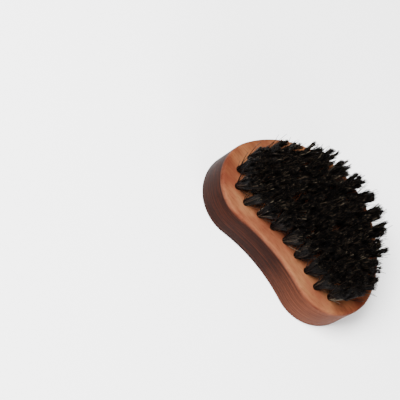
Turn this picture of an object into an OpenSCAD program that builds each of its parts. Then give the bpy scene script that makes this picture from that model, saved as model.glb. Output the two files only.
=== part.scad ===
// Kidney-shaped hand brush for a beard.
// A solid wood block lies on its back with the bristles pointing up (+Z).
// The long side that bulges faces +Y and the hollow side, where the fingers sit, faces -Y.
// The origin is the middle of the flat back.  All sizes are in millimetres.

/* [Wood block] */
// Length of the block from end to end
block_length = 98; // [94:1:104]
// Thickness of the block from the back to the bristle face
block_thickness = 22; // [18:0.5:26]
// Radius of each rounded end
end_radius = 22.4; // [21.4:0.2:22.8]
// Radius of the long side that bulges
belly_radius = 51; // [50:0.5:56]
// Radius of the hollow in the other long side
waist_radius = 86; // [70:1:110]
// Rounding of the edge round the bristle face
front_round = 1.8; // [1:0.1:3]
// Rounding of the edge round the back
back_round = 1; // [0.5:0.5:2]

/* [Tuft holes] */
// Diameter of each blind hole that holds a tuft
hole_diameter = 3.5; // [3:0.1:3.8]
// Depth of each hole below the bristle face
hole_depth = 12; // [8:0.5:14]
// Distance from the edge of the block to the middle of the outer ring of holes
edge_margin = 8.2; // [7.8:0.1:8.6]
// Distance from one ring of holes to the next
ring_gap = 7.4; // [7.2:0.1:7.5]
// Number of tufts in the outer ring
outer_count = 24; // [20:2:24]
// Number of tufts in the middle ring
middle_count = 18; // [14:2:18]
// Number of tufts in the inner ring
inner_count = 14; // [10:4:14]
// Number of tufts in the row down the middle
centre_count = 2; // [1:1:2]
// Distance between the tufts of the row down the middle
centre_pitch = 9; // [7:0.5:10]

/* [Bristles] */
// Height of the trimmed bristle tips above the bristle face
bristle_height = 16; // [12:1:20]
// Radius of a tuft at its trimmed tips
tip_radius = 3; // [2.2:0.1:3]
// Gap between a tuft and the wall of its hole
tuft_clearance = 0.05; // [0.02:0.01:0.1]
// Lean that every hole and its tuft have towards the +X end, in degrees
set_lean = 6; // [0:1:8]
// Further lean outwards that the holes and tufts at the ends have, in degrees
end_lean = 1; // [0:1:7]

/* [Wire anchors] */
// Length of the flat wire across the hole, which bites into the wood on both sides
anchor_length = 4.1; // [3.9:0.1:4.5]
// Height of the flat wire along the hole
anchor_height = 1.6; // [1.2:0.1:2]
// Thickness of the flat wire
anchor_thickness = 0.35; // [0.25:0.05:0.5]
// Thickness of the folded bristles under the anchor
fold_thickness = 0.8; // [0.5:0.1:1.2]

/* [Hidden] */
// Half the distance between the centres of the two rounded ends.
lobe_x = block_length / 2 - end_radius;
// Depths of the belly and waist centres below the line through the two lobe centres.
belly_drop = sqrt(pow(belly_radius - end_radius, 2) - pow(lobe_x, 2));
waist_drop = sqrt(pow(waist_radius + end_radius, 2) - pow(lobe_x, 2));
// Angles from those centres to the lobe centre: the arcs meet there, on a common tangent.
belly_angle = atan2(belly_drop, lobe_x);
waist_angle = atan2(waist_drop, lobe_x);
// Shift that puts the middle of the block's width on the X axis.
centre_y = (belly_radius - belly_drop - end_radius) / 2;
hole_radius = hole_diameter / 2;
// Straight stretch of a tuft above the face, so that it spreads only once it is out of its hole.
collar = 0.5;
// Play round an anchor in its tuft, and how far cuts run past a face.
slot_play = 0.02;
overcut = 1;
round_fn = 32;
// Number of straight pieces that stand for each arc of the outline, and for each rounded edge.
belly_steps = 16;
lobe_steps = 28;
waist_steps = 20;
round_steps = 4;

// An arc is [centre x, centre y, radius, first angle, sweep]; a positive sweep is anticlockwise.
// The outline, moved in by inset, runs anticlockwise from the middle of the belly.  Past the
// radius of the ends, the lobes are used up, and the belly and waist arcs meet in a corner.
function lens_y(inset) =
    let (rb = belly_radius - inset, rw = waist_radius + inset)
    (rw * rw - rb * rb - waist_drop * waist_drop + belly_drop * belly_drop)
        / (2 * (waist_drop - belly_drop));
function lens_x(inset) = sqrt(pow(belly_radius - inset, 2) - pow(lens_y(inset) + belly_drop, 2));
function bean_path(inset) =
    let (
        has_lobes = inset < end_radius,
        ba = has_lobes ? belly_angle : atan2(lens_y(inset) + belly_drop, lens_x(inset)),
        wa = has_lobes ? waist_angle : atan2(lens_y(inset) + waist_drop, lens_x(inset)),
        belly = [0, -belly_drop - centre_y, belly_radius - inset],
        waist = [0, -waist_drop - centre_y, waist_radius + inset],
        lobe_sweep = 180 + ba - wa
    )
    [
        concat(belly, [90, 90 - ba]),
        if (has_lobes) [-lobe_x, -centre_y, end_radius - inset, 180 - ba, lobe_sweep],
        concat(waist, [180 - wa, 2 * wa - 180]),
        if (has_lobes) [lobe_x, -centre_y, end_radius - inset, 180 + wa, lobe_sweep],
        concat(belly, [ba, 90 - ba])
    ];
function arc_length(arc) = arc[2] * abs(arc[4]) * PI / 180;
function path_length(path, i = 0) = i == len(path) ? 0 : arc_length(path[i]) + path_length(path, i + 1);
function on_arc(arc, part) =
    let (angle = arc[3] + arc[4] * part)
    [arc[0] + arc[2] * cos(angle), arc[1] + arc[2] * sin(angle)];
function on_path(path, s, i = 0) =
    let (here = arc_length(path[i]))
    (s <= here || i == len(path) - 1)
        ? on_arc(path[i], s / here)
        : on_path(path, s - here, i + 1);

// Evenly spaced tufts on a ring, from the middle of the belly.
function ring(inset, count) =
    let (path = bean_path(inset), pitch = path_length(path) / count)
    [for (i = [0 : count - 1]) on_path(path, i * pitch)];
// The middle row lies half-way between the two sides of the inner ring.
inner_inset = edge_margin + 2 * ring_gap;
function centre_row_y(x) =
    (sqrt(pow(belly_radius - inner_inset, 2) - x * x) - belly_drop
        + sqrt(pow(waist_radius + inner_inset, 2) - x * x) - waist_drop) / 2 - centre_y;
function centre_row() =
    [for (i = [0 : centre_count - 1])
        let (x = (i - (centre_count - 1) / 2) * centre_pitch)
        [x, centre_row_y(x)]];

function names(word, count) = [for (i = [1 : count]) str(word, i)];
tuft_spots = concat(
    ring(edge_margin, outer_count),
    ring(edge_margin + ring_gap, middle_count),
    ring(inner_inset, inner_count),
    centre_row()
);
tuft_names = concat(
    names("tuft_outer_", outer_count),
    names("tuft_middle_", middle_count),
    names("tuft_inner_", inner_count),
    names("tuft_centre_", centre_count)
);

// One closed loop of the block's surface, moved in by inset and at height z.
arc_steps = [belly_steps, lobe_steps, waist_steps, lobe_steps, belly_steps];
function outline(inset, z) =
    let (path = bean_path(inset))
    [for (a = [0 : len(path) - 1], i = [0 : arc_steps[a] - 1])
        let (p = on_arc(path[a], i / arc_steps[a]))
        [p[0], p[1], z]];
function edge_profile(r) =
    [for (i = [0 : round_steps])
        let (angle = 90 * i / round_steps)
        [r * (1 - sin(angle)), r * (1 - cos(angle))]];
back_profile = edge_profile(back_round);
front_profile = edge_profile(front_round);
block_profile = concat(
    back_profile,
    [for (i = [round_steps : -1 : 0]) [front_profile[i][0], block_thickness - front_profile[i][1]]]
);

module rounded_block() {
    loops = [for (p = block_profile) outline(p[0], p[1])];
    n = len(loops[0]);
    m = len(loops);
    sides = [for (k = [0 : m - 2], i = [0 : n - 1])
        let (j = (i + 1) % n)
        [k * n + i, (k + 1) * n + i, (k + 1) * n + j, k * n + j]];
    back = [for (i = [0 : n - 1]) i];
    front = [for (i = [n - 1 : -1 : 0]) (m - 1) * n + i];
    polyhedron(points = [for (l = loops) each l], faces = concat([back, front], sides));
}

// Lean of the hole at spot, in degrees towards the +X end.
function lean_at(spot) = set_lean + end_lean * spot[0] / (block_length / 2);

// Puts a piece in the hole at spot: z = 0 is the bristle face, and +z runs out along the tuft.
module in_hole(spot) {
    translate([spot[0], spot[1], block_thickness])
        rotate([0, lean_at(spot), 0])
            children();
}

// The anchor's bar, made bigger by play on every side.
module anchor_bar(play) {
    size = [anchor_length, anchor_thickness, anchor_height] + 2 * [play, play, play];
    translate([0, 0, fold_thickness + anchor_height / 2 - hole_depth])
        cube(size, center = true);
}

module wood_block() {
    color("#8a4a2a")
        difference() {
            rounded_block();
            for (spot = tuft_spots)
                in_hole(spot) {
                    translate([0, 0, -hole_depth])
                        cylinder(h = hole_depth + overcut, r = hole_radius, $fn = round_fn);
                    anchor_bar(0);
                }
        }
}

module wire_anchors() {
    color("#b9b4a8")
        for (spot = tuft_spots)
            in_hole(spot) anchor_bar(0);
}

// A folded bundle of bristles: straight in its hole, then spreading up to its trimmed tips.
module tuft(spot) {
    bundle_radius = hole_radius - tuft_clearance;
    lean = lean_at(spot);
    tip_z = (bristle_height - tip_radius * sin(lean)) / cos(lean);
    color("#17120f")
        in_hole(spot)
            difference() {
                rotate_extrude($fn = round_fn)
                    polygon([
                        [0, -hole_depth],
                        [bundle_radius, -hole_depth],
                        [bundle_radius, collar],
                        [tip_radius, tip_z],
                        [0, tip_z]
                    ]);
                anchor_bar(slot_play);
            }
}

wood_block();
wire_anchors();
for (i = [0 : len(tuft_spots) - 1])
    tuft(tuft_spots[i]);
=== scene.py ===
# %% [markdown]
# A kidney-shaped beard brush: one varnished hardwood block, and tufts of black boar bristle that
# stand in drilled holes. This lesson builds it round the CAD model, which fixes every size and
# place. The block is drawn again as a smooth mesh, and each tuft becomes a bundle of separate
# bristles.

# %% Load the CAD model
import math
import random

import bmesh
import bpy
from mathutils import Matrix, Vector


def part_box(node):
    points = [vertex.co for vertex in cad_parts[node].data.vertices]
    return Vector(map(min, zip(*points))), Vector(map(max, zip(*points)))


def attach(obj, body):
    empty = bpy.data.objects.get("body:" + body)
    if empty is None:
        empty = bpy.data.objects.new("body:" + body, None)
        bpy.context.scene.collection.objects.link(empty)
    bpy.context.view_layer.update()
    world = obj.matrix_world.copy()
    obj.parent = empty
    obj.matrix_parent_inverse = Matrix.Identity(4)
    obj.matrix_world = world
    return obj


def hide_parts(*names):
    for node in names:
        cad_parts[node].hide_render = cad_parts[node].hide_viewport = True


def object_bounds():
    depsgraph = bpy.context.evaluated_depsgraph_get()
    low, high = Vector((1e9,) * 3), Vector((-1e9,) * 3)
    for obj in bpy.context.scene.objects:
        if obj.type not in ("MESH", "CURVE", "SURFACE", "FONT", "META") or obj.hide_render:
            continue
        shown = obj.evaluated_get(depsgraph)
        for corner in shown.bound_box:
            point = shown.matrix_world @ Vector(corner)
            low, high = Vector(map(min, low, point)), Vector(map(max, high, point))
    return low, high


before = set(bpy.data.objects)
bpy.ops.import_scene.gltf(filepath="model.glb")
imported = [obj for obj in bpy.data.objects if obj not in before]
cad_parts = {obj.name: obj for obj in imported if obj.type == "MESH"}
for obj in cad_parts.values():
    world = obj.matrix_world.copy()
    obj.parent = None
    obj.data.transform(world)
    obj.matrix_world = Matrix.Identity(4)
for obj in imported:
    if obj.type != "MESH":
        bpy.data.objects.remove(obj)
cad_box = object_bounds()
MM = 0.001
BODY = "root"
block_low, block_high = [Vector(corner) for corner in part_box("wood_block")]
face_z = block_high.z
print("block, mm:", [round(side / MM, 1) for side in block_high - block_low])

# %% [markdown]
# ## Camera
# The brush lies on its back. The camera looks down on it from the hollow side, is rolled so that
# the brush stands on a slant, and aims beside it, so that it stands in the right half of the
# picture. A long lens, from a metre away, keeps the two ends of the block nearly the same size, as
# in a product picture.

# %% Place the camera
VIEW_AZIMUTH = math.radians(-97.78)
VIEW_ELEVATION = math.radians(58.41)
VIEW_ROLL = math.radians(56.88)
VIEW_DISTANCE = 1031.6 * MM
AIM = Vector((-41.8 * MM, -42.0 * MM, face_z))
LENS = 198
SENSOR = 36

away = Vector((
    math.cos(VIEW_ELEVATION) * math.cos(VIEW_AZIMUTH),
    math.cos(VIEW_ELEVATION) * math.sin(VIEW_AZIMUTH),
    math.sin(VIEW_ELEVATION),
))
camera = bpy.data.objects.new("camera", bpy.data.cameras.new("camera"))
camera.data.lens = LENS
camera.data.sensor_width = SENSOR
camera.location = AIM + away * VIEW_DISTANCE
level = away.to_track_quat("Z", "Y").to_matrix()
camera.rotation_euler = (level @ Matrix.Rotation(VIEW_ROLL, 3, "Z")).to_euler()
bpy.context.collection.objects.link(camera)
bpy.context.scene.camera = camera
print("camera at, mm:", [round(value / MM) for value in camera.location])

# %% [markdown]
# ## Helpers
# Meshes come from bmesh, and materials from shader nodes. One helper finishes a mesh as a piece of
# the brush, and one adds a shader node with its settings and its links. Colours are written as hex
# values, as a paint chart gives them, and are turned to linear light before a shader gets them.

# %% Helper for pieces
def make_piece(name, mesh, material, nodes):
    """An object with that mesh, in place of the CAD nodes."""
    piece = bpy.data.objects.new(name, mesh)
    mesh.materials.clear()
    mesh.materials.append(material)
    bpy.context.collection.objects.link(piece)
    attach(piece, BODY)
    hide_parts(*nodes)
    return piece


# %% Helpers for materials
def colour(hex_value):
    """An sRGB hex value as linear light."""
    parts = [int(hex_value[i:i + 2], 16) / 255 for i in (1, 3, 5)]
    linear = [p / 12.92 if p <= 0.04045 else ((p + 0.055) / 1.055) ** 2.4 for p in parts]
    return (*linear, 1)


def add(tree, kind, inputs=None, **settings):
    """A new node. Each input is a value to set or a socket to link."""
    node = tree.nodes.new(kind)
    for name, value in settings.items():
        setattr(node, name, value)
    for name, value in (inputs or {}).items():
        if isinstance(value, bpy.types.NodeSocket):
            tree.links.new(value, node.inputs[name])
        else:
            node.inputs[name].default_value = value
    return node


def new_material(name):
    material = bpy.data.materials.new(name)
    material.use_nodes = True
    tree = material.node_tree
    return material, tree, tree.nodes["Principled BSDF"]


def ramp(tree, factor, stops):
    """A ramp through stops, each a position with a colour or a number."""
    node = add(tree, "ShaderNodeValToRGB", {"Fac": factor})
    marks = node.color_ramp.elements
    while len(marks) < len(stops):
        marks.new(1)
    for mark, (position, value) in zip(marks, stops):
        mark.position = position
        mark.color = value if isinstance(value, tuple) else (value, value, value, 1)
    return node.outputs["Color"]


# %% [markdown]
# ## Wood
# The block is a reddish tropical hardwood, sawn so that the growth layers lie almost flat, stained
# dark and given a satin varnish. On the walls the layers show as fine lines that run round the
# block. On the bristle face they are cut along, which leaves cloudy patches and short dark pores
# that follow the grain. The face has been sanded paler than the walls, and the rounding between
# them is rubbed to a shade in between. The walls' dark colour is partly the wood's own and partly
# painted shade. The face is darker at its two ends: partly stain that gathers in the end grain,
# partly painted shade of the tufts. The wall is painted paler towards the right end (+X): painted
# light, in place of light that the floor reflects onto it.
#
# All of it is a solid pattern in the block's own space, so walls and face agree along every edge,
# as they would in one piece of timber. The specular level is far below a varnish's own, because a
# higher one lays a grey veil of the white floor over the dark walls.

# %% Wood material
LAYER = 0.7 * MM
FIBRE = 0.35 * MM
PORE = 0.5 * MM
CLOUD = 9 * MM
# Depths below the face: where its colour and the rounding's start, and where they are full.
FACE_START, FACE_FULL = 0.9 * MM, 0.3 * MM
RIM_START, RIM_FULL = 2.4 * MM, 1.2 * MM
# Darker ends of the face: partly stain, partly painted shade of the tufts.
STAIN_AND_SHADE_REACH, STAIN_AND_SHADE_STRENGTH = 14 * MM, 0.7
# Painted light: the wall grows paler towards the +X end.
PAINTED_LIGHT_START, PAINTED_LIGHT_FULL, PAINTED_LIGHT_STRENGTH = 4 * MM, 34 * MM, 0.8


def wood_material():
    material, tree, shader = new_material("satin_varnished_hardwood")
    place = add(tree, "ShaderNodeTexCoord").outputs["Object"]

    def stretched(x, y, z):
        node = add(tree, "ShaderNodeMapping", {"Vector": place, "Scale": (x, y, z)})
        return node.outputs["Vector"]

    def noise(vector, detail, roughness):
        return add(tree, "ShaderNodeTexNoise", {
            "Vector": vector, "Scale": 1, "Detail": detail, "Roughness": roughness,
        }).outputs["Fac"]

    def mix(kind, factor, first, second):
        """Two colours mixed. On this node the sockets 0, 6 and 7 are the factor, A and B."""
        node = add(tree, "ShaderNodeMix", {0: factor, 6: first, 7: second},
                   data_type="RGBA", blend_type=kind)
        return node.outputs[2]

    def between(value, low, high, top=1.0):
        """A number that grows from 0 at low to top at high."""
        return add(tree, "ShaderNodeMapRange", {
            "Value": value, "From Min": low, "From Max": high, "To Max": top,
        }).outputs["Result"]

    # Patterns: each is drawn out along the timber, which runs the length of the block.
    clouds = noise(stretched(0.4 / CLOUD, 1 / CLOUD, 1 / CLOUD), detail=4, roughness=0.6)
    layers = noise(stretched(0.03 / LAYER, 0.06 / LAYER, 1 / LAYER), detail=3, roughness=0.65)
    fibres = noise(stretched(0.05 / FIBRE, 1 / FIBRE, 1 / FIBRE), detail=3, roughness=0.7)
    pores = noise(stretched(0.12 / PORE, 1 / PORE, 1 / PORE), detail=1, roughness=0.5)

    # Zones of the block.
    split = add(tree, "ShaderNodeSeparateXYZ", {"Vector": place}).outputs
    from_middle = add(tree, "ShaderNodeMath", {0: split["X"]}, operation="ABSOLUTE").outputs[0]
    face = between(split["Z"], face_z - FACE_START, face_z - FACE_FULL)
    rim = between(split["Z"], face_z - RIM_START, face_z - RIM_FULL)
    # Darkening at the two ends of the face: partly stain, partly painted shade.
    stain_and_painted_shade = between(from_middle, block_high.x - STAIN_AND_SHADE_REACH, block_high.x, STAIN_AND_SHADE_STRENGTH)
    # Painted light on the wall, growing towards the +X end.
    painted_wall_light = between(split["X"], PAINTED_LIGHT_START, PAINTED_LIGHT_FULL, PAINTED_LIGHT_STRENGTH)

    # Wall colours: the wood's own tone, darkened further as painted shade.
    wall_tone_and_painted_shade = ramp(tree, layers, [
        (0.3, colour("#100402")), (0.5, colour("#1d0904")), (0.68, colour("#321409")),
    ])
    # Painted light: the paler wall colour towards the +X end.
    painted_light_wall = ramp(tree, layers, [
        (0.3, colour("#402014")), (0.5, colour("#522c1d")), (0.7, colour("#643a29")),
    ])
    rounding = ramp(tree, clouds, [(0.35, colour("#432015")), (0.65, colour("#683f2d"))])
    sanded = ramp(tree, clouds, [
        (0.34, colour("#5a2f20")), (0.48, colour("#633b27")), (0.66, colour("#6f4a30")),
    ])
    # Tint for the ends of the face: stain and painted shade.
    stain_and_shade_tint = ramp(tree, clouds, [(0.4, colour("#a87f78")), (0.62, colour("#dcbcb4"))])
    wall = mix("MIX", painted_wall_light, wall_tone_and_painted_shade, painted_light_wall)
    top = mix("MULTIPLY", stain_and_painted_shade, sanded, stain_and_shade_tint)
    wood = mix("MIX", face, mix("MIX", rim, wall, rounding), top)
    wood = mix("MULTIPLY", 1.0, wood, ramp(tree, fibres, [(0.3, 0.72), (0.6, 1.0)]))
    wood = mix("MULTIPLY", 0.6, wood, ramp(tree, pores, [(0.3, 0.5), (0.4, 1.0)]))

    bump = add(tree, "ShaderNodeBump", {
        "Height": fibres, "Strength": 0.12, "Distance": 0.1 * MM,
    })
    tree.links.new(wood, shader.inputs["Base Color"])
    tree.links.new(bump.outputs["Normal"], shader.inputs["Normal"])
    shader.inputs["Roughness"].default_value = 0.5
    shader.inputs["IOR"].default_value = 1.5
    shader.inputs["Specular IOR Level"].default_value = 0.015
    return material


wood = wood_material()
print("wood material:", len(wood.node_tree.nodes), "nodes")

# %% [markdown]
# ## Outline of the block
# The outline is four arcs that meet smoothly: a bulging belly, two round ends and a hollow waist.
# The spin operator draws each one from the last point of the arc before it, so no point has to be
# worked out by hand. Only the radii and half the length are given here. The centres follow from the
# rule that arcs which meet smoothly have their centres in line with the meeting point.

# %% Centres of the arcs
END_RADIUS = 22.4 * MM
BELLY_RADIUS = 51 * MM
WAIST_RADIUS = 86 * MM
HALF_LENGTH = 49 * MM

lobe_x = HALF_LENGTH - END_RADIUS
belly_drop = math.sqrt((BELLY_RADIUS - END_RADIUS) ** 2 - lobe_x ** 2)
waist_drop = math.sqrt((WAIST_RADIUS + END_RADIUS) ** 2 - lobe_x ** 2)
belly_turn = math.atan2(belly_drop, lobe_x)
waist_turn = math.atan2(waist_drop, lobe_x)
lobe_y = block_low.y + END_RADIUS
print("middle of the end arcs, mm:", round(lobe_x / MM, 1), round(lobe_y / MM, 1))

# %% Outline by spinning one point
ARC_STEP = 1.1 * MM
FEWEST_STEPS = 4
SAME_PLACE = 0.01 * MM


def spin_arc(bm, point, centre, radius, turn):
    """Draws an arc from point round centre, and returns its last point."""
    steps = max(FEWEST_STEPS, round(abs(turn) * radius / ARC_STEP))
    result = bmesh.ops.spin(
        bm, geom=[point], cent=centre, axis=(0, 0, 1), dvec=(0, 0, 0),
        angle=turn, steps=steps, use_merge=False, use_duplicate=False,
    )
    return [item for item in result["geom_last"] if isinstance(item, bmesh.types.BMVert)][0]


def draw_outline(bm):
    belly = Vector((0, lobe_y - belly_drop, 0))
    waist = Vector((0, lobe_y - waist_drop, 0))
    left = Vector((-lobe_x, lobe_y, 0))
    right = Vector((lobe_x, lobe_y, 0))
    quarter = math.pi / 2
    lobe_sweep = math.pi + belly_turn - waist_turn
    point = bm.verts.new(belly + Vector((0, BELLY_RADIUS, 0)))
    point = spin_arc(bm, point, belly, BELLY_RADIUS, quarter - belly_turn)
    point = spin_arc(bm, point, left, END_RADIUS, lobe_sweep)
    point = spin_arc(bm, point, waist, WAIST_RADIUS, -(math.pi - 2 * waist_turn))
    point = spin_arc(bm, point, right, END_RADIUS, lobe_sweep)
    spin_arc(bm, point, belly, BELLY_RADIUS, quarter - belly_turn)
    bmesh.ops.remove_doubles(bm, verts=bm.verts, dist=SAME_PLACE)


# %% [markdown]
# ## Block
# The outline is filled and pulled up to the block's thickness, and its two long edges are rounded
# with the bevel operator, more at the bristle face than at the back. The holes are drilled with a
# Boolean, one cutter for all of them. They are real holes in the mesh, so the tufts grow out of
# dark mouths and not out of a flat surface. Each hole's place and lean are read from its CAD tuft.

# %% Read the tufts from the CAD model
tuft_nodes = sorted(
    (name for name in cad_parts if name.startswith("tuft_")),
    key=lambda name: (name.rsplit("_", 1)[0], int(name.rsplit("_", 1)[1])),
)
MOUTH_BAND = 1.5 * MM
TIP_HEIGHT = 12 * MM


def middle(points):
    low = Vector([min(p[i] for p in points) for i in range(3)])
    high = Vector([max(p[i] for p in points) for i in range(3)])
    return (low + high) / 2


def tuft_axis(name):
    """The middle of the hole's mouth, and the direction in which the CAD tuft leans."""
    points = [v.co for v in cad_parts[name].data.vertices]
    mouth = middle([p for p in points if abs(p.z - face_z) < MOUTH_BAND])
    tips = middle([p for p in points if p.z > face_z + TIP_HEIGHT])
    lean = (tips - mouth).normalized()
    return mouth - lean * (mouth.z - face_z) / lean.z, lean


tufts = {name: tuft_axis(name) for name in tuft_nodes}
trim_height = cad_box[1][2] - face_z
print(len(tufts), "tufts; bristles stand", round(trim_height / MM, 1), "mm above the face")

# %% Shape of the block
FRONT_ROUND = 1.8 * MM
BACK_ROUND = 1 * MM
ROUND_STEPS = 7
FLAT = 0.999


def build_block():
    bm = bmesh.new()
    draw_outline(bm)
    back = bmesh.ops.contextual_create(bm, geom=bm.edges[:])["faces"]
    pulled = bmesh.ops.extrude_face_region(bm, geom=back, use_keep_orig=True)["geom"]
    top_points = [item for item in pulled if isinstance(item, bmesh.types.BMVert)]
    bmesh.ops.translate(bm, verts=top_points, vec=(0, 0, face_z))
    bmesh.ops.recalc_face_normals(bm, faces=bm.faces)
    for height, offset in ((face_z, FRONT_ROUND), (0, BACK_ROUND)):
        rim = [e for e in bm.edges if all(abs(v.co.z - height) < SAME_PLACE for v in e.verts)]
        bmesh.ops.bevel(
            bm, geom=rim, offset=offset, segments=ROUND_STEPS, profile=0.5,
            affect="EDGES", material=-1, clamp_overlap=False,
        )
    for face in bm.faces:
        face.smooth = abs(face.normal.z) < FLAT
    mesh = bpy.data.meshes.new("block")
    bm.to_mesh(mesh)
    bm.free()
    return mesh


# %% Cutter for the holes
HOLE_RADIUS = 1.75 * MM
HOLE_DEPTH = 12 * MM
HOLE_SIDES = 24
OVERSHOOT = 2 * MM


def build_drills():
    bm = bmesh.new()
    for mouth, lean in tufts.values():
        turn = lean.to_track_quat("Z", "Y").to_matrix().to_4x4()
        centre = mouth - lean * (HOLE_DEPTH / 2 - OVERSHOOT / 2)
        bmesh.ops.create_cone(
            bm, cap_ends=True, cap_tris=False, segments=HOLE_SIDES,
            radius1=HOLE_RADIUS, radius2=HOLE_RADIUS, depth=HOLE_DEPTH + OVERSHOOT,
            matrix=Matrix.Translation(centre) @ turn,
        )
    mesh = bpy.data.meshes.new("drills")
    bm.to_mesh(mesh)
    bm.free()
    return mesh


# %% Drill the block
def applied(thing):
    """The thing's mesh with its modifiers applied."""
    graph = bpy.context.evaluated_depsgraph_get()
    return bpy.data.meshes.new_from_object(thing.evaluated_get(graph))


blank = bpy.data.objects.new("blank", build_block())
drills = bpy.data.objects.new("drills", build_drills())
for thing in (blank, drills):
    bpy.context.collection.objects.link(thing)
cut = blank.modifiers.new("holes", "BOOLEAN")
cut.operation = "DIFFERENCE"
cut.solver = "EXACT"
cut.object = drills
block_mesh = applied(blank)
for thing in (blank, drills):
    bpy.data.objects.remove(thing)
make_piece("block", block_mesh, wood, ["wood_block"])
print("block:", len(block_mesh.polygons), "faces")

# %% [markdown]
# ## Wire anchors
# Under each tuft, out of sight, a short flat wire holds the fold of the bristles in the hole. The
# CAD solids already have the right shape, so they only get the finish of drawn steel wire: fine
# lines along the wire, left by the die that it was pulled through.

# %% Anchor wire
DIE_LINE = 0.125 * MM
LINE_LENGTH = 10 / 3 * MM


def wire_material():
    material, tree, shader = new_material("drawn_steel_wire")
    place = add(tree, "ShaderNodeTexCoord").outputs["Object"]
    along = add(tree, "ShaderNodeMapping", {
        "Vector": place, "Scale": (1 / LINE_LENGTH, 1 / DIE_LINE, 1 / DIE_LINE),
    }).outputs["Vector"]
    lines = add(tree, "ShaderNodeTexNoise", {
        "Vector": along, "Scale": 1, "Detail": 2,
    }).outputs["Fac"]
    steel = ramp(tree, lines, [(0.3, colour("#8f8c86")), (0.7, colour("#c4c1ba"))])
    tree.links.new(steel, shader.inputs["Base Color"])
    shader.inputs["Metallic"].default_value = 1
    shader.inputs["Roughness"].default_value = 0.35
    return material


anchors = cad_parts["wire_anchors"]
anchors.data.materials.clear()
anchors.data.materials.append(wire_material())
print("anchors:", len(anchors.data.polygons), "faces")

# %% [markdown]
# ## Bristle
# Boar bristle is a tapering keratin hair, about 0.2 mm thick, with a slight gloss. It is sold as
# black, but a lot always holds some brown hairs and a few pale ones. Every bristle carries a number
# of its own, kept on its points, and the material turns that number into a colour. The palest
# colours are partly real pale hairs and partly painted highlight, standing in for glints on the
# bristles. The pale hairs are the glossier ones. The specular level is low here too, so that the
# mass stays black under a white sky.

# %% Bristle material
def bristle_material():
    material, tree, shader = new_material("black_boar_bristle")
    number = add(tree, "ShaderNodeAttribute", attribute_name="bristle_shade").outputs["Fac"]
    # The palest end of this ramp is partly painted highlight, standing in for glints.
    shade = ramp(tree, number, [
        (0.0, colour("#020202")), (0.7, colour("#060505")), (0.88, colour("#15110e")),
        (0.96, colour("#2b241d")), (0.985, colour("#3d342a")), (1.0, colour("#7a6f5e")),
    ])
    tree.links.new(shade, shader.inputs["Base Color"])
    tree.links.new(ramp(tree, number, [(0.4, 0.6), (0.9, 0.32)]), shader.inputs["Roughness"])
    shader.inputs["IOR"].default_value = 1.55
    shader.inputs["Specular IOR Level"].default_value = 0.06
    return material


bristle = bristle_material()
print("bristle material:", len(bristle.node_tree.nodes), "nodes")

# %% [markdown]
# ## Tufts
# A tuft is a bundle of bristles folded over its anchor. It fills its hole, leaves it as a tight
# round bunch and then flares out. The machine trims all tips to one height, but the ends of the
# bristles have since gathered in small locks, which curl one way or another, and a few stray from
# them, so the top looks ragged. Use and the case have also given whole tufts a set: inwards at the
# two ends of the brush, and outwards along the belly.
#
# Each bristle is a curve of a few points with a small square section, which is the lightest tube
# that still catches the light. Bristles are drawn a third of a millimetre thick, coarser and fewer
# than real ones, so that single ones can be seen. Only the top of the part inside the hole is made,
# because the rest, with its fold over the anchor, is never seen. The whole bundle is made a mesh at
# the end.

# %% One bristle
BRISTLE_RADIUS = 0.16 * MM
POINTS = 6
ROOT_DEPTH = 2.5 * MM
BUNDLE_RADIUS = HOLE_RADIUS - BRISTLE_RADIUS
# The spread of the tips past the bundle. A power over 1 makes it start at the hole's mouth.
SPREAD, FLARE = 3.3 * MM, 1.4
# A bristle joins a lock near its root, not always the nearest, and goes part of the way to it.
LOCK_CHOICE = 0.35
GATHER_LEAST, GATHER_MOST = 0.4, 0.95
UNEVEN_TRIM = 0.07
# The share of bristles that stray, how far they go, and the shortest of them.
STRAYS, STRAY_REACH, SHORTEST_STRAY = 0.1, 0.9, 0.75
# Every tip also bends a little by itself. The higher the power, the nearer the bend is to the tip.
KINK, BEND_POWER = 1 * MM, 2.5


def bristle_points(mouth, lean, dice, disc, splay, locks):
    """Points along one bristle, from inside the hole to its tip."""
    root = disc(1)
    tip, reach, curl = min(
        locks, key=lambda lock: (lock[0] - root).length + dice.uniform(0, LOCK_CHOICE)
    )
    end = root.lerp(tip, dice.uniform(GATHER_LEAST, GATHER_MOST)) * splay
    length = trim_height * reach * (1 - UNEVEN_TRIM * dice.random())
    if dice.random() < STRAYS:
        end = end + disc(STRAY_REACH)
        length *= dice.uniform(SHORTEST_STRAY, 1)
    bend = curl + disc(KINK)
    points = []
    for i in range(POINTS):
        along = -ROOT_DEPTH + (length + ROOT_DEPTH) * i / (POINTS - 1)
        up = min(1, max(0, along) / length)
        spread = 1 - (1 - up) ** FLARE
        points.append(
            mouth + lean * along + root.lerp(end, up) * BUNDLE_RADIUS + end * SPREAD * spread
            + bend * up ** BEND_POWER
        )
    return points


print("a bristle is", round((trim_height + ROOT_DEPTH) / MM, 1), "mm long in", POINTS, "points")

# %% Set of a tuft
SET_AT_LEFT_END = 0.2
SET_AT_RIGHT_END = 0.33
SET_AT_BELLY = 0.2


def bent_set(mouth):
    """How far a tuft leans, per unit of height: inwards at the ends, outwards at the belly."""
    end = mouth.x / block_high.x
    belly = max(0, mouth.y / block_high.y)
    inwards = SET_AT_RIGHT_END if end > 0 else SET_AT_LEFT_END
    return Vector((-inwards * end ** 3, SET_AT_BELLY * belly * (1 - end ** 2), 0))


# %% One tuft
BRISTLES = 400
TIP_TAPER = 0.45
LOCKS = 15
LOWEST_LOCK = 0.87
LOCK_CURL = 1.5 * MM
TUFT_STRAY = 0.045
OUTER_SPLAY = (0.7, 0.95)
INNER_SPLAY = (1, 1.25)


def new_bundle(name):
    curve = bpy.data.curves.new(name, "CURVE")
    curve.dimensions = "3D"
    curve.bevel_depth = BRISTLE_RADIUS
    curve.bevel_resolution = 0
    curve.use_fill_caps = True
    return curve


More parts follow.
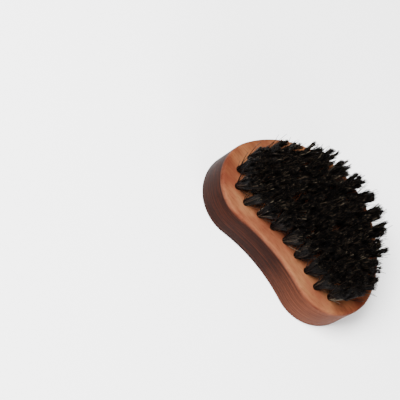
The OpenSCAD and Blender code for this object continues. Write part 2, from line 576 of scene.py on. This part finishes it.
def grow_tuft(name, mouth, lean, seed):
    dice = random.Random(seed)
    side = lean.orthogonal().normalized()
    across = lean.cross(side)

    def disc(radius):
        """A random place across the tuft, within radius of its middle."""
        distance = math.sqrt(dice.random()) * radius
        angle = dice.uniform(0, 2 * math.pi)
        return (side * math.cos(angle) + across * math.sin(angle)) * distance

    stray = side * dice.gauss(0, TUFT_STRAY) + across * dice.gauss(0, TUFT_STRAY)
    own_lean = (lean + bent_set(mouth) + stray).normalized()
    splay = dice.uniform(*(OUTER_SPLAY if "outer" in name else INNER_SPLAY))
    locks = [(disc(1), dice.uniform(LOWEST_LOCK, 1), disc(LOCK_CURL)) for _ in range(LOCKS)]
    curve = new_bundle(name)
    shades = []
    for _ in range(BRISTLES):
        spline = curve.splines.new("POLY")
        spline.points.add(POINTS - 1)
        for i, place in enumerate(bristle_points(mouth, own_lean, dice, disc, splay, locks)):
            spline.points[i].co = (*place, 1)
            spline.points[i].radius = 1 - TIP_TAPER * (i / (POINTS - 1)) ** 2
        spline.use_smooth = True
        shades.append(dice.random())
    bundle = bpy.data.objects.new(name, curve)
    bpy.context.collection.objects.link(bundle)
    mesh = applied(bundle)
    bpy.data.objects.remove(bundle)
    share = len(mesh.vertices) // BRISTLES
    number = mesh.attributes.new("bristle_shade", "FLOAT", "POINT")
    number.data.foreach_set("value", [shades[i // share] for i in range(len(mesh.vertices))])
    return mesh


# %% Grow all the tufts
triangles = 0
for seed, (name, (mouth, lean)) in enumerate(tufts.items()):
    mesh = grow_tuft("bristles_" + name, mouth, lean, seed)
    make_piece(name.replace("tuft", "bristles"), mesh, bristle, [name])
    mesh.calc_loop_triangles()
    triangles += len(mesh.loop_triangles)
print("bristles:", BRISTLES * len(tufts), "in", triangles, "triangles")

# %% [markdown]
# ## Floor and light
# A plain white sweep lies under the brush. A large soft key light hangs high over the hollow side
# and the left end, so that the bristle face is bright and the wall falls into shade. A weaker fill
# comes in low from the right end and brightens the wall there. White light from all round keeps the
# shadows soft.

# %% Floor
FLOOR_HALF_WIDTH = 1.5


def floor_material():
    material, _, shader = new_material("white_paper_sweep")
    shader.inputs["Base Color"].default_value = colour("#ffffff")
    shader.inputs["Roughness"].default_value = 0.9
    return material


bm = bmesh.new()
bmesh.ops.create_grid(bm, x_segments=1, y_segments=1, size=FLOOR_HALF_WIDTH)
floor_mesh = bpy.data.meshes.new("floor")
bm.to_mesh(floor_mesh)
bm.free()
floor_mesh.materials.append(floor_material())
floor = bpy.data.objects.new("floor", floor_mesh)
bpy.context.collection.objects.link(floor)
print("floor:", 2 * FLOOR_HALF_WIDTH, "m wide")

# %% Lights
WORLD_STRENGTH = 0.35


def add_light(name, place, size, power):
    """A square area light that faces the middle of the scene. Size in metres, power in watts."""
    lamp = bpy.data.lights.new(name, "AREA")
    lamp.size = size
    lamp.energy = power
    light = bpy.data.objects.new(name, lamp)
    light.location = place
    light.rotation_euler = Vector(place).to_track_quat("Z", "Y").to_euler()
    bpy.context.collection.objects.link(light)


add_light("key", (-0.4, -0.35, 0.88), size=0.5, power=48)
add_light("fill", (0.75, -0.55, 0.35), size=0.6, power=16)

world = bpy.data.worlds.new("pale studio")
world.use_nodes = True
sky = world.node_tree.nodes["Background"]
sky.inputs["Color"].default_value = colour("#ffffff")
sky.inputs["Strength"].default_value = WORLD_STRENGTH
bpy.context.scene.world = world
